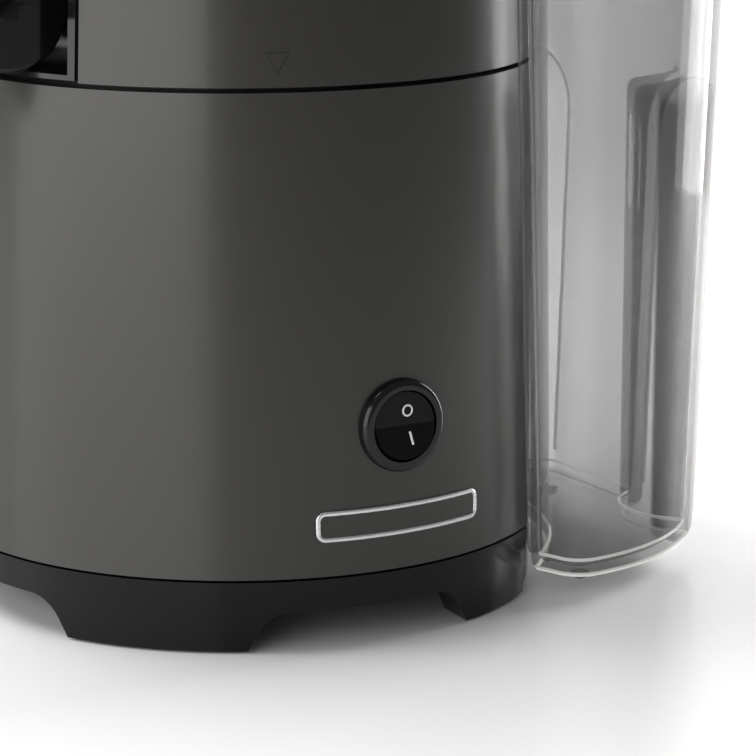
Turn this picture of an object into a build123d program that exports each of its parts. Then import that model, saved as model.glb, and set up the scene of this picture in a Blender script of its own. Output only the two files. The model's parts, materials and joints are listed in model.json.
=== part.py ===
from build123d import *
import os
from math import cos, radians, sin, tan

# Centrifugal juicer, in millimetres. The origin is on the motor axis at table level, +Z is up, the
# switch faces -Y, the spout points to -X and the pulp container stands at +X. A bearing is an angle in
# degrees seen from above, measured from the front (-Y) towards +X.

os.makedirs("parts", exist_ok=True)

# ---------------------------------------------------------------- driving dimensions
SEAM_R = 75.0  # outside radius where base and collector meet
FOOT_R = 78.4  # outside radius at the top of the skirt
SKIRT_BOTTOM_R = 77.2
WALL = 2.2

LEG_BOTTOM_Z = 0.6
SKIRT_TOP_Z = 18.2
BASE_BOTTOM_Z = 18.8
DECK_Z = 128.5  # underside of the motor deck
BASE_TOP_Z = 136.3
RING_BOTTOM_Z = 137.5
RING_TOP_Z = 186.0
LID_BOTTOM_Z = 187.0
LID_TOP_Z = 211.0
CHUTE_TOP_Z = 284.0
CAP_TOP_Z = 312.0

RECESS_R = 75.0  # the base is cut back to this radius behind the pulp container
RECESS_HALF_ANGLE = 50.7

TAPER = (FOOT_R - SEAM_R) / (BASE_TOP_Z - BASE_BOTTOM_Z)
DECK_TOP_Z = DECK_Z + 3.0


def shell_radius(z):
    """Outside radius of the tapered body at height z."""
    return FOOT_R - TAPER * (z - BASE_BOTTOM_Z)


def at_bearing(bearing, radius):
    """Plan position at a bearing from the front and a radius from the motor axis."""
    return radius * sin(radians(bearing)), -radius * cos(radians(bearing))


def facing(bearing, radius, z):
    """Plane on the body: x axis to the right, y axis up, normal outwards, at a bearing."""
    x, y = at_bearing(bearing, radius)
    return Plane(
        origin=(x, y, z),
        x_dir=(cos(radians(bearing)), sin(radians(bearing)), 0),
        z_dir=(sin(radians(bearing)), -cos(radians(bearing)), 0),
    )


# ---------------------------------------------------------------- steps used inside sub-part blocks
def ring(z, outer, inner, height, mode=Mode.ADD):
    """Flat ring about the motor axis, from z upwards; a disc when inner is 0."""
    with BuildSketch(Plane.XY.offset(z)) as profile:
        Circle(outer)
        if inner:
            Circle(inner, mode=Mode.SUBTRACT)
    extrude(profile.sketch, amount=height, mode=mode)


def posts(z, radius, height, places, mode=Mode.ADD):
    """Round posts, or holes with Mode.SUBTRACT, from z upwards at the given plan positions."""
    with BuildSketch(Plane.XY.offset(z)) as profile:
        with Locations(*places):
            Circle(radius)
    extrude(profile.sketch, amount=height, mode=mode)


def slab(z, width, depth, height, places=((0, 0),), mode=Mode.ADD):
    """Rectangular blocks from z upwards at the given plan positions."""
    with BuildSketch(Plane.XY.offset(z)) as profile:
        with Locations(*places):
            Rectangle(width, depth)
    extrude(profile.sketch, amount=height, mode=mode)


def revolve_profile(points, mode=Mode.ADD):
    """Turn a closed profile of (radius, z) points about the motor axis."""
    with BuildSketch(Plane.XZ) as profile:
        with BuildLine():
            Polyline(*points, close=True)
        make_face()
    revolve(profile.sketch, axis=Axis.Z, mode=mode)


def sectors(z, outer, inner, height, bearings, half_angle, mode=Mode.ADD):
    """Ring segments of one size, centred on the given bearings."""
    with BuildSketch(Plane.XY.offset(z)) as profile:
        for bearing in bearings:
            with BuildLine():
                Polyline(
                    (0, 0),
                    at_bearing(bearing - half_angle, outer * 1.3),
                    at_bearing(bearing + half_angle, outer * 1.3),
                    close=True,
                )
            make_face()
        Circle(outer, mode=Mode.INTERSECT)
        Circle(inner, mode=Mode.SUBTRACT)
    extrude(profile.sketch, amount=height, mode=mode)


def disc_on(plane, radius, height, mode=Mode.ADD):
    """Round boss or hole on a plane."""
    with BuildSketch(plane) as profile:
        Circle(radius)
    extrude(profile.sketch, amount=height, mode=mode)


def save(builder, name):
    builder.part.label = name
    export_step(builder.part, f"parts/{name}.step")


# ---------------------------------------------------------------- base shells
def recessed_frustum(z0, z1, r0, r1, inset):
    """Tapered body with the pulp container's recess cut in its +X side."""
    with BuildPart() as body:
        revolve_profile([(0, z0), (r0, z0), (r1, z1), (0, z1)])
        reach = 120.0
        side = reach * tan(radians(RECESS_HALF_ANGLE))
        shift = inset / sin(radians(RECESS_HALF_ANGLE))
        with BuildSketch(Plane.XY.offset(z0 - 1)):
            with BuildLine():
                Polyline((-shift, 0), (reach, -side - shift), (reach, side + shift), close=True)
            make_face()
            Circle(RECESS_R - inset, mode=Mode.SUBTRACT)
        extrude(amount=z1 - z0 + 2, mode=Mode.SUBTRACT)
    return body.part


HOUSING_SOLID = recessed_frustum(BASE_BOTTOM_Z, BASE_TOP_Z, FOOT_R, SEAM_R, 0)
HOUSING_VOID = recessed_frustum(
    BASE_BOTTOM_Z - 1, DECK_Z, shell_radius(BASE_BOTTOM_Z - 1) - WALL, shell_radius(DECK_Z) - WALL, WALL
)
SKIRT_SOLID = recessed_frustum(LEG_BOTTOM_Z, SKIRT_TOP_Z, SKIRT_BOTTOM_R, FOOT_R, 0)

SWITCH_Z = 54.4
SWITCH_BEARING = 1.0
SWITCH_FACE = shell_radius(SWITCH_Z)
BEZEL_R = 11.5
SLEEVE_R = 9.9
BEZEL_SEAT = 1.0  # depth of the bezel's seat in the wall

BOSS_BEARINGS = (-35, 28, 152, 215)
BOSS_PLACES = [at_bearing(b, 62.0) for b in BOSS_BEARINGS]
BOSS_BOTTOM_Z = 14.6
DAMPER_PLACES = [at_bearing(b, 40.0) for b in (45, 135, 225, 315)]
DAMPER_TOP_Z = DECK_Z - 4
CENTRE_HOLE_R = 12.0
WELL_R = 72.2
TAB_BEARINGS = (45, 135, 225, 315)
TAB_HALF_ANGLE = 10.0
INTERLOCK_PLACE = at_bearing(168.0, 52.0)
GLAND_Z = 34.0
GLAND_HOLE_R = 6.5

with BuildPart() as base_housing:
    add(HOUSING_SOLID)
    add(HOUSING_VOID, mode=Mode.SUBTRACT)
    ring(DECK_TOP_Z, WELL_R, 0, 10, Mode.SUBTRACT)
    sectors(134.0, WELL_R + 1, 70.0, 2.0, TAB_BEARINGS, TAB_HALF_ANGLE)
    posts(BOSS_BOTTOM_Z, 4.0, 26, BOSS_PLACES)
    for bearing in BOSS_BEARINGS:
        with BuildSketch(facing(bearing, 64.0, 30.0)):
            Rectangle(2.0, 20)
        extrude(amount=12.8)
    posts(BOSS_BOTTOM_Z, 1.3, 14, BOSS_PLACES, Mode.SUBTRACT)
    posts(DAMPER_TOP_Z, 6.0, 4, DAMPER_PLACES)
    posts(DAMPER_TOP_Z, 1.5, 5.5, DAMPER_PLACES, Mode.SUBTRACT)
    ring(DECK_Z - 1, CENTRE_HOLE_R, 0, 10, Mode.SUBTRACT)
    posts(DECK_Z - 1, 2.2, 10, [INTERLOCK_PLACE], Mode.SUBTRACT)
    disc_on(facing(SWITCH_BEARING, SWITCH_FACE - BEZEL_SEAT, SWITCH_Z), BEZEL_R + 0.05, 6, Mode.SUBTRACT)
    disc_on(facing(SWITCH_BEARING, SWITCH_FACE - 6, SWITCH_Z), SLEEVE_R + 0.05, 10, Mode.SUBTRACT)
    disc_on(facing(180, 70, GLAND_Z), GLAND_HOLE_R, 12, Mode.SUBTRACT)
save(base_housing, "base_housing")

# legs with arched gaps between them; the spout side gap is wider
LEG_INNER_R = 66.0
LEDGE_Z = 12.6
LEDGE_R = 71.0
ARCH_HEIGHT = 9.8
FRONT_GAP = (-5.5, 22.6)
REAR_GAP = (185.5, 22.6)
SPOUT_GAP = (-90.0, 27.0)
FOOT_PLACES = [at_bearing(b, 71.6) for b in (-45.5, 28.0, 152.0, 225.5)]
FOOT_PAD_R = 4.4
FOOT_PAD_TOP_Z = 2.4

with BuildPart() as base_skirt:
    add(SKIRT_SOLID)
    ring(LEG_BOTTOM_Z - 1, LEG_INNER_R, 0, 20, Mode.SUBTRACT)
    ring(LEDGE_Z, LEDGE_R, 0, 20, Mode.SUBTRACT)
    for bearing, half_angle in (FRONT_GAP, REAR_GAP, SPOUT_GAP):
        half_width = SKIRT_BOTTOM_R * sin(radians(half_angle))
        with BuildSketch(facing(bearing, 45.0, LEG_BOTTOM_Z)):
            with BuildLine():
                Polyline(
                    (-half_width, -2),
                    (half_width, -2),
                    (half_width, 0),
                    (half_width - 4.5, ARCH_HEIGHT),
                    (4.5 - half_width, ARCH_HEIGHT),
                    (-half_width, 0),
                    close=True,
                )
            corners = make_face().vertices().group_by(Axis.Y)[-1]
            fillet(corners, radius=9.0)
        extrude(amount=40, mode=Mode.SUBTRACT)
    posts(0, FOOT_PAD_R + 0.05, FOOT_PAD_TOP_Z, FOOT_PLACES, Mode.SUBTRACT)
save(base_skirt, "base_skirt")

with BuildPart() as rubber_feet:
    posts(0, FOOT_PAD_R, FOOT_PAD_TOP_Z, FOOT_PLACES)
    chamfer(rubber_feet.faces().sort_by(Axis.Z)[:4].edges(), length=0.4)
save(rubber_feet, "rubber_feet")

PLATE_R = 70.6
PLATE_Z = LEDGE_Z
PLATE_THICK = 1.9
with BuildPart() as bottom_plate:
    ring(PLATE_Z, PLATE_R, 0, PLATE_THICK)
    posts(PLATE_Z, 1.5, 5, BOSS_PLACES, Mode.SUBTRACT)
    with BuildSketch(Plane.XY.offset(PLATE_Z)):
        with GridLocations(9.0, 34.0, 9, 2):
            SlotCenterToCenter(22.0, 3.4, rotation=90)
    extrude(amount=5, mode=Mode.SUBTRACT)
save(bottom_plate, "bottom_plate")

with BuildPart() as bottom_plate_screws:
    posts(PLATE_Z - 1.6, 2.9, 1.6, BOSS_PLACES)
    posts(PLATE_Z, 1.2, 11, BOSS_PLACES)
    with BuildSketch(Plane.XY.offset(PLATE_Z - 1.6)):
        with Locations(*BOSS_PLACES):
            Rectangle(3.4, 0.8)
            Rectangle(0.8, 3.4)
    extrude(amount=0.9, mode=Mode.SUBTRACT)
save(bottom_plate_screws, "bottom_plate_screws")

GLAND_WALL = shell_radius(GLAND_Z)
with BuildPart() as cord_gland:
    disc_on(facing(180, GLAND_WALL - 4, GLAND_Z), GLAND_HOLE_R - 0.05, 3.6)
    disc_on(facing(180, GLAND_WALL - 0.4, GLAND_Z), GLAND_HOLE_R - 0.05, 1.0)
    disc_on(facing(180, GLAND_WALL + 0.4, GLAND_Z), 8.6, 1.4)
    disc_on(facing(180, GLAND_WALL + 1.8, GLAND_Z), 6.0, 1.2)
    disc_on(facing(180, GLAND_WALL - 6, GLAND_Z), 3.5, 14, Mode.SUBTRACT)
save(cord_gland, "cord_gland")

# blank name plate bent round the taper of the housing
NAMEPLATE_Z = 31.2
with BuildPart() as nameplate:
    low, high = NAMEPLATE_Z - 6, NAMEPLATE_Z + 6
    revolve_profile(
        [
            (shell_radius(low), low),
            (shell_radius(low) + 0.7, low),
            (shell_radius(high) + 0.7, high),
            (shell_radius(high), high),
        ]
    )
    with BuildSketch(facing(1.4, 60, NAMEPLATE_Z)):
        SlotOverall(47.0, 7.6)
    extrude(amount=30, mode=Mode.INTERSECT)
save(nameplate, "nameplate")

# ---------------------------------------------------------------- switch
BEZEL_PROUD = 2.1
ROCKER_BALL_R = 8.6
ROCKER_TILT = 9.0
BORE_R = 8.95

with BuildPart() as switch_bezel:
    disc_on(facing(SWITCH_BEARING, SWITCH_FACE - BEZEL_SEAT, SWITCH_Z), BEZEL_R, BEZEL_SEAT + BEZEL_PROUD)
    front = switch_bezel.faces().filter_by(GeomType.PLANE).sort_by(Axis.Y)[0]
    fillet(front.edges(), radius=1.5)
    disc_on(facing(SWITCH_BEARING, SWITCH_FACE - 8, SWITCH_Z), SLEEVE_R, 8 - BEZEL_SEAT)
    disc_on(facing(SWITCH_BEARING, SWITCH_FACE - 9, SWITCH_Z), BORE_R, 14, Mode.SUBTRACT)
save(switch_bezel, "switch_bezel")

with BuildPart() as switch_body:
    disc_on(facing(SWITCH_BEARING, SWITCH_FACE - 22, SWITCH_Z), SLEEVE_R - 0.4, 14)
    with BuildSketch(facing(SWITCH_BEARING, SWITCH_FACE - 29, SWITCH_Z)):
        with GridLocations(7.0, 1, 2, 1):
            Rectangle(0.8, 4.8)
    extrude(amount=7)
save(switch_body, "switch_body")


def tilted_rocker_plane():
    """The rocker's own plane, at rest with its upper half pressed in."""
    flat = facing(SWITCH_BEARING, SWITCH_FACE, SWITCH_Z)
    return flat.rotated((-ROCKER_TILT, 0, 0))


ROCKER_PLANE = tilted_rocker_plane()
with BuildPart() as switch_rocker:
    with Locations(ROCKER_PLANE.location):
        Sphere(ROCKER_BALL_R)
    side = Plane(
        origin=ROCKER_PLANE.origin - ROCKER_PLANE.x_dir * 10,
        x_dir=ROCKER_PLANE.y_dir,
        z_dir=ROCKER_PLANE.x_dir,
    )
    with BuildSketch(side):
        with BuildLine():
            Polyline((-9, -3.4), (9, -3.4), (9, 2.9), (0, 1.7), (-9, 2.9), close=True)
        make_face()
    extrude(amount=20, mode=Mode.INTERSECT)
save(switch_rocker, "switch_rocker")

# ---------------------------------------------------------------- safety interlock
PIN_BOTTOM_Z = DECK_Z - 2.2
INTERLOCK_SWITCH_TOP_Z = PIN_BOTTOM_Z - 2.4
TERMINAL_PLACES = [(INTERLOCK_PLACE[0] + dx, INTERLOCK_PLACE[1]) for dx in (-7, 0, 7)]
with BuildPart() as interlock_switch:
    slab(INTERLOCK_SWITCH_TOP_Z - 10, 20, 6.4, 10, [INTERLOCK_PLACE])
    slab(INTERLOCK_SWITCH_TOP_Z - 14, 0.8, 3.2, 4, TERMINAL_PLACES)
save(interlock_switch, "interlock_switch")

PIN_TOP_Z = 138.0
with BuildPart() as interlock_pin:
    posts(PIN_BOTTOM_Z, 2.0, PIN_TOP_Z - PIN_BOTTOM_Z, [INTERLOCK_PLACE])
    fillet(interlock_pin.faces().sort_by(Axis.Z)[-1].edges(), radius=1.0)
save(interlock_pin, "interlock_pin")

# ---------------------------------------------------------------- motor, fixed side
SHAFT_R = 4.0
BEARING_R = 11.0
BEARING_THICK = 7.0
BOLT_X = 31.7
BOLT_PLACES = [(-BOLT_X, 0), (BOLT_X, 0)]
UPPER_PLATE_Z = 117.5
LOWER_PLATE_Z = 24.0
STACK_Z0, STACK_Z1 = 56.0, 88.0
BORE_STATOR_R = 18.6
BRUSH_Z = 41.0

with BuildPart() as motor_upper_bracket:
    ring(UPPER_PLATE_Z - 7.5, 14.5, 0, 10.5)
    with BuildSketch(Plane.XY.offset(UPPER_PLATE_Z)):
        Rectangle(94, 14, rotation=45)
        Rectangle(94, 14, rotation=-45)
        Rectangle(76, 12)
    extrude(amount=3)
    ring(UPPER_PLATE_Z - 8, BEARING_R, 0, 8, Mode.SUBTRACT)
    ring(UPPER_PLATE_Z - 1, 6.5, 0, 8, Mode.SUBTRACT)
    posts(UPPER_PLATE_Z - 1, 1.7, 8, BOLT_PLACES + DAMPER_PLACES, Mode.SUBTRACT)
save(motor_upper_bracket, "motor_upper_bracket")

HOLDER_PLACES = [(0, -24.0), (0, 24.0)]
with BuildPart() as motor_lower_bracket:
    ring(LOWER_PLATE_Z, 14.5, 0, 9)
    slab(LOWER_PLATE_Z, 76, 14, 3)
    slab(LOWER_PLATE_Z, 14, 62, 3)
    posts(LOWER_PLATE_Z + 3, 3.0, BRUSH_Z - 4.5 - LOWER_PLATE_Z - 3, HOLDER_PLACES)
    ring(LOWER_PLATE_Z + 1.5, BEARING_R, 0, 10, Mode.SUBTRACT)
    ring(LOWER_PLATE_Z - 1, 6.5, 0, 8, Mode.SUBTRACT)
    posts(LOWER_PLATE_Z - 1, 1.7, 8, BOLT_PLACES, Mode.SUBTRACT)
save(motor_lower_bracket, "motor_lower_bracket")


def bearing_ring(name, z):
    """Shielded ball bearing as a grooved ring, with running clearance on the shaft."""
    with BuildPart() as bearing_part:
        ring(z, BEARING_R, SHAFT_R + 0.05, BEARING_THICK)
        for groove_z in (z, z + BEARING_THICK - 0.5):
            ring(groove_z, 9.2, 6.2, 0.5, Mode.SUBTRACT)
    save(bearing_part, name)


bearing_ring("upper_bearing", UPPER_PLATE_Z - 7)
bearing_ring("lower_bearing", LOWER_PLATE_Z + 1.5)

with BuildPart() as motor_dampers:
    posts(UPPER_PLATE_Z + 3, 6.0, DAMPER_TOP_Z - UPPER_PLATE_Z - 3, DAMPER_PLACES)
    posts(UPPER_PLATE_Z + 2, 1.6, 10, DAMPER_PLACES, Mode.SUBTRACT)
save(motor_dampers, "motor_dampers")

with BuildPart() as damper_screws:
    posts(UPPER_PLATE_Z - 2.2, 3.2, 2.2, DAMPER_PLACES)
    posts(UPPER_PLATE_Z, 1.4, 10, DAMPER_PLACES)
save(damper_screws, "damper_screws")

with BuildPart() as stator_spacers:
    for z0, z1 in ((LOWER_PLATE_Z + 3, STACK_Z0), (STACK_Z1, UPPER_PLATE_Z)):
        posts(z0, 3.2, z1 - z0, BOLT_PLACES)
    posts(LOWER_PLATE_Z, 1.7, 100, BOLT_PLACES, Mode.SUBTRACT)
save(stator_spacers, "stator_spacers")

with BuildPart() as motor_through_bolts:
    posts(LOWER_PLATE_Z - 2.6, 3.0, 2.6, BOLT_PLACES)
    posts(LOWER_PLATE_Z, 1.6, UPPER_PLATE_Z + 3 - LOWER_PLATE_Z, BOLT_PLACES)
    with BuildSketch(Plane.XY.offset(UPPER_PLATE_Z + 3)):
        with Locations(*BOLT_PLACES):
            RegularPolygon(3.2, 6)
    extrude(amount=2.6)
save(motor_through_bolts, "motor_through_bolts")

COIL_X0, COIL_X1 = 20.0, 27.0
with BuildPart() as stator_core:
    with BuildSketch(Plane.XY.offset(STACK_Z0)):
        RectangleRounded(72, 62, 8)
        Circle(BORE_STATOR_R, mode=Mode.SUBTRACT)
        for side_x in (-1, 1):
            for side_y in (-1, 1):
                with Locations((side_x * 18.75, side_y * 15.25)):
                    Rectangle(17.5, 6.5, mode=Mode.SUBTRACT)
        with Locations(*BOLT_PLACES):
            Circle(1.7, mode=Mode.SUBTRACT)
    extrude(amount=STACK_Z1 - STACK_Z0)
save(stator_core, "stator_core")

with BuildPart() as field_coils:
    stack = STACK_Z1 - STACK_Z0
    for coil_x in (COIL_X0, -COIL_X1):
        with BuildSketch(Plane.YZ.offset(coil_x)):
            with Locations((0, (STACK_Z0 + STACK_Z1) / 2)):
                RectangleRounded(36.0, stack + 12.0, 5.0)
                Rectangle(25.0, stack + 0.4, mode=Mode.SUBTRACT)
        extrude(amount=COIL_X1 - COIL_X0)
save(field_coils, "field_coils")

with BuildPart() as brush_holders:
    for side_y in (-1, 1):
        with BuildSketch(Plane.XZ.offset(-21.5 * side_y)):
            with Locations((0, BRUSH_Z)):
                Rectangle(9, 9)
                Rectangle(6.2, 6.2, mode=Mode.SUBTRACT)
        extrude(amount=8.5, both=True)
save(brush_holders, "brush_holders")

with BuildPart() as carbon_brushes:
    for side_y in (-1, 1):
        with BuildSketch(Plane.XZ.offset(-18.2 * side_y)):
            with Locations((0, BRUSH_Z)):
                Rectangle(6.1, 6.1)
        extrude(amount=6.8, both=True)
save(carbon_brushes, "carbon_brushes")

NECK_R = 6.0
with BuildPart() as shaft_seal:
    revolve_profile(
        [
            (NECK_R + 0.3, DECK_Z),
            (CENTRE_HOLE_R, DECK_Z),
            (CENTRE_HOLE_R, DECK_TOP_Z),
            (8.6, DECK_TOP_Z),
            (7.0, DECK_TOP_Z + 2.4),
            (NECK_R + 0.3, DECK_TOP_Z + 2.4),
        ]
    )
save(shaft_seal, "shaft_seal")

# ---------------------------------------------------------------- rotor
SHAFT_Z0, SHAFT_Z1 = 23.0, 150.0
with BuildPart() as motor_shaft:
    ring(SHAFT_Z0, SHAFT_R, 0, SHAFT_Z1 - SHAFT_Z0)
    chamfer(motor_shaft.faces().filter_by(GeomType.PLANE).edges(), length=0.5)
save(motor_shaft, "motor_shaft")

with BuildPart() as rotor_core:
    ring(STACK_Z0, 18.0, SHAFT_R, STACK_Z1 - STACK_Z0)
    with BuildSketch(Plane.XY.offset(STACK_Z0)):
        with PolarLocations(16.6, 12):
            Rectangle(4.0, 1.8)
    extrude(amount=STACK_Z1 - STACK_Z0, mode=Mode.SUBTRACT)
save(rotor_core, "rotor_core")

with BuildPart() as rotor_winding:
    for z in (STACK_Z0 - 6.5, STACK_Z1 + 0.2):
        ring(z, 16.5, SHAFT_R + 3, 6.3)
        rims = rotor_winding.edges().filter_by(GeomType.CIRCLE)
        fillet(rims.filter_by_position(Axis.Z, z - 0.1, z + 6.4), radius=1.6)
save(rotor_winding, "rotor_winding")

with BuildPart() as commutator:
    ring(34.6, 11.0, SHAFT_R, 12.6)
    with BuildSketch(Plane.XY.offset(34.6)):
        with PolarLocations(10.8, 24):
            Rectangle(1.2, 0.5)
    extrude(amount=12.6, mode=Mode.SUBTRACT)
save(commutator, "commutator")

FAN_Z = 97.0
FAN_R = 27.0
with BuildPart() as cooling_fan:
    ring(FAN_Z, FAN_R, SHAFT_R, 1.8)
    ring(FAN_Z, 7.5, SHAFT_R, 9.5)
    with BuildSketch(Plane.XY.offset(FAN_Z + 1.8)):
        with PolarLocations(17.2, 11):
            Rectangle(18.5, 1.3, rotation=24)
        Circle(FAN_R, mode=Mode.INTERSECT)
        Circle(SHAFT_R, mode=Mode.SUBTRACT)
    extrude(amount=7.4)
save(cooling_fan, "cooling_fan")

COUPLING_TOP_Z = 158.0
with BuildPart() as drive_coupling:
    ring(121.5, NECK_R, 0, 15)
    ring(136.0, 8.8, 0, COUPLING_TOP_Z - 136.0)
    with BuildSketch(Plane.XY.offset(140.0)):
        with PolarLocations(8.9, 6):
            Circle(1.5)
    extrude(amount=COUPLING_TOP_Z - 141.5)
    ring(121.0, SHAFT_R, 0, SHAFT_Z1 - 121.0, Mode.SUBTRACT)
save(drive_coupling, "drive_coupling")

GRATER_Z = 168.0
HUB_R = 13.6
BASKET_R0, BASKET_R1 = 45.0, 61.0
RIM_Z = 194.5
with BuildPart() as basket_hub:
    ring(146.5, HUB_R, 0, GRATER_Z - 146.5)
    ring(GRATER_Z - 2.5, BASKET_R0 + 1.6, 0, 2.5)
    with BuildSketch(Plane.XY.offset(146.0)):
        Circle(9.0)
        with PolarLocations(8.9, 6):
            Circle(1.75)
    extrude(amount=COUPLING_TOP_Z + 0.5 - 146.0, mode=Mode.SUBTRACT)
save(basket_hub, "basket_hub")

TOOTH_COUNTS = ((12.0, 8), (20.0, 14), (28.0, 20), (36.0, 26))
with BuildPart() as grater_disc:
    ring(GRATER_Z, BASKET_R0 - 1.2, 0, 1.0)
    for radius, count in TOOTH_COUNTS:
        with BuildSketch(Plane.XY.offset(GRATER_Z + 1.0)):
            with PolarLocations(radius, count):
                RegularPolygon(1.2, 3)
        extrude(amount=1.3, taper=20)
save(grater_disc, "grater_disc")

with BuildPart() as strainer_screen:
    revolve_profile(
        [(BASKET_R0, GRATER_Z), (BASKET_R0 + 0.9, GRATER_Z), (BASKET_R1 + 0.9, RIM_Z), (BASKET_R1, RIM_Z)]
    )
save(strainer_screen, "strainer_screen")

with BuildPart() as basket_rim:
    ring(RIM_Z, 64.0, 60.0, 3.5)
    fillet(basket_rim.faces().sort_by(Axis.Z)[-1].edges(), radius=1.2)
save(basket_rim, "basket_rim")

# ---------------------------------------------------------------- collector
SPOUT_X, SPOUT_Z = -76.5, 154.3  # pivot axis of the pour spout, parallel to Y
POCKET_TOP_Z = 176.0
POCKET_HALF = 38.3
POCKET_CORNER_R = 19.0
HOUSING_GAP = 0.9
POCKET_BACK_X = -58.0
LUG_R = 71.7


def pocket_window(x, inset, bottom_z):
    """Outline of the spout pocket on a plane facing -X: square at the bottom, round at the top corners."""
    half = POCKET_HALF - inset
    top = POCKET_TOP_Z - inset
    with BuildSketch(Plane(origin=(x, 0, 0), x_dir=(0, -1, 0), z_dir=(-1, 0, 0))) as window:
        with BuildLine():
            Polyline((-half, bottom_z), (half, bottom_z), (half, top), (-half, top), close=True)
        corners = make_face().vertices().group_by(Axis.Y)[-1]
        fillet(corners, radius=POCKET_CORNER_R - inset)
    return window.sketch


RING_WINDOW = pocket_window(-40.0, 0.0, RING_BOTTOM_Z - 2)
HOUSING_WINDOW = pocket_window(POCKET_BACK_X + 2.0, HOUSING_GAP, RING_BOTTOM_Z + 0.5)
POCKET_INSIDE = pocket_window(POCKET_BACK_X, HOUSING_GAP + 1.8, RING_BOTTOM_Z + 1.7)

MARK_BEARING = -21.8
MARK_Z = 144.2
with BuildPart() as collector_ring:
    z0, z1 = RING_BOTTOM_Z, RING_TOP_Z
    r0, r1 = shell_radius(z0), shell_radius(z1)
    revolve_profile([(r0 - WALL, z0), (r0, z0), (r1, z1), (r1 - WALL, z1)])
    extrude(RING_WINDOW, amount=60, mode=Mode.SUBTRACT)
    with BuildSketch(facing(MARK_BEARING, shell_radius(MARK_Z) - 0.35, MARK_Z)):
        RegularPolygon(3.7, 3, rotation=-90)
        RegularPolygon(2.9, 3, rotation=-90, mode=Mode.SUBTRACT)
    extrude(amount=3, mode=Mode.SUBTRACT)
save(collector_ring, "collector_ring")

BOWL_R = 66.0
with BuildPart() as collector_bowl:
    ring(142.0, 17.0, 15.0, 21.0)
    revolve_profile([(16, 148), (BOWL_R + 1, 144), (BOWL_R + 1, 146), (16, 150)])
    ring(144.0, BOWL_R + 2, BOWL_R, RING_TOP_Z - 144.0)
    ring(RING_TOP_Z - 2, 71.0, BOWL_R, 2)
    ring(132.1, 64.0, 62.0, 13.0)
    sectors(132.1, LUG_R, 63.0, 1.5, TAB_BEARINGS, TAB_HALF_ANGLE)
    posts(PIN_TOP_Z + 0.4, 3.6, 8, [INTERLOCK_PLACE])
    with BuildSketch(Plane.XY.offset(RING_BOTTOM_Z + 0.2)):
        with Locations((-85.7, 0)):
            Rectangle(60, 2 * POCKET_HALF + 0.6)
    extrude(amount=POCKET_TOP_Z - RING_BOTTOM_Z, mode=Mode.SUBTRACT)
save(collector_bowl, "collector_bowl")

OUTLET_R = 7.0
with BuildPart() as spout_housing:
    extrude(HOUSING_WINDOW, amount=30)
    revolve_profile(
        [(0, 130), (shell_radius(130), 130), (shell_radius(180), 180), (0, 180)], Mode.INTERSECT
    )
    extrude(POCKET_INSIDE, amount=40, mode=Mode.SUBTRACT)
    outlet = Plane(origin=(-50, 0, SPOUT_Z), x_dir=(0, -1, 0), z_dir=(-1, 0, 0))
    disc_on(outlet, OUTLET_R, 20, Mode.SUBTRACT)
    with BuildSketch(Plane.XZ):
        with Locations((SPOUT_X, SPOUT_Z)):
            Circle(2.5)
    extrude(amount=40, both=True, mode=Mode.SUBTRACT)
save(spout_housing, "spout_housing")

PIVOT_PIN_R = 2.5
BARREL_HALF = 28.0
CHEEK_R = 14.8
CHEEK_THICK = 4.4
BARREL_R = 13.6
NOZZLE_FALL = 28.0  # degrees below level at rest
NOZZLE_LENGTH = 46.5
BARREL_FRONT = Plane(origin=(SPOUT_X, -BARREL_HALF, SPOUT_Z), x_dir=(1, 0, 0), z_dir=(0, 1, 0))
NOZZLE_PLANE = Plane(
    origin=(SPOUT_X, 0, SPOUT_Z),
    x_dir=(0, 1, 0),
    z_dir=(-cos(radians(NOZZLE_FALL)), 0, -sin(radians(NOZZLE_FALL))),
)

with BuildPart() as pour_spout:
    for y in (-BARREL_HALF, BARREL_HALF - CHEEK_THICK):
        disc_on(BARREL_FRONT.offset(y + BARREL_HALF), CHEEK_R, CHEEK_THICK)
    rims = pour_spout.edges().filter_by(GeomType.CIRCLE)
    fillet(rims, radius=1.0)
    disc_on(BARREL_FRONT.offset(CHEEK_THICK - 1), BARREL_R, 2 * (BARREL_HALF - CHEEK_THICK + 1))
    with BuildSketch(NOZZLE_PLANE):
        Circle(10.4)
    with BuildSketch(NOZZLE_PLANE.offset(NOZZLE_LENGTH)):
        Circle(8.6)
    loft()
    disc_on(BARREL_FRONT.offset(CHEEK_THICK + 1), 11.0, 2 * (BARREL_HALF - CHEEK_THICK - 1), Mode.SUBTRACT)
    with BuildSketch(NOZZLE_PLANE.offset(5)):
        Circle(8.2)
    with BuildSketch(NOZZLE_PLANE.offset(NOZZLE_LENGTH + 1)):
        Circle(6.9)
    loft(mode=Mode.SUBTRACT)
    inlet = Plane(origin=(SPOUT_X, 0, SPOUT_Z), x_dir=(0, 1, 0), z_dir=(1, 0, 0))
    disc_on(inlet, OUTLET_R, 20, Mode.SUBTRACT)
    disc_on(BARREL_FRONT.offset(-1), PIVOT_PIN_R + 0.05, 2 * BARREL_HALF + 2, Mode.SUBTRACT)
save(pour_spout, "pour_spout")

with BuildPart() as spout_pivot_pins:
    for start in (-HOUSING_GAP - POCKET_HALF + 2.0, POCKET_HALF + HOUSING_GAP - 2.0 - 12.6):
        disc_on(BARREL_FRONT.offset(start + BARREL_HALF), PIVOT_PIN_R, 12.6)
save(spout_pivot_pins, "spout_pivot_pins")

with BuildPart() as spout_seal:
    seal_plane = Plane(origin=(POCKET_BACK_X, 0, SPOUT_Z), x_dir=(0, -1, 0), z_dir=(-1, 0, 0))
    disc_on(seal_plane, OUTLET_R + 3.0, 3.2)
    disc_on(seal_plane, OUTLET_R, 5, Mode.SUBTRACT)
save(spout_seal, "spout_seal")

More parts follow.
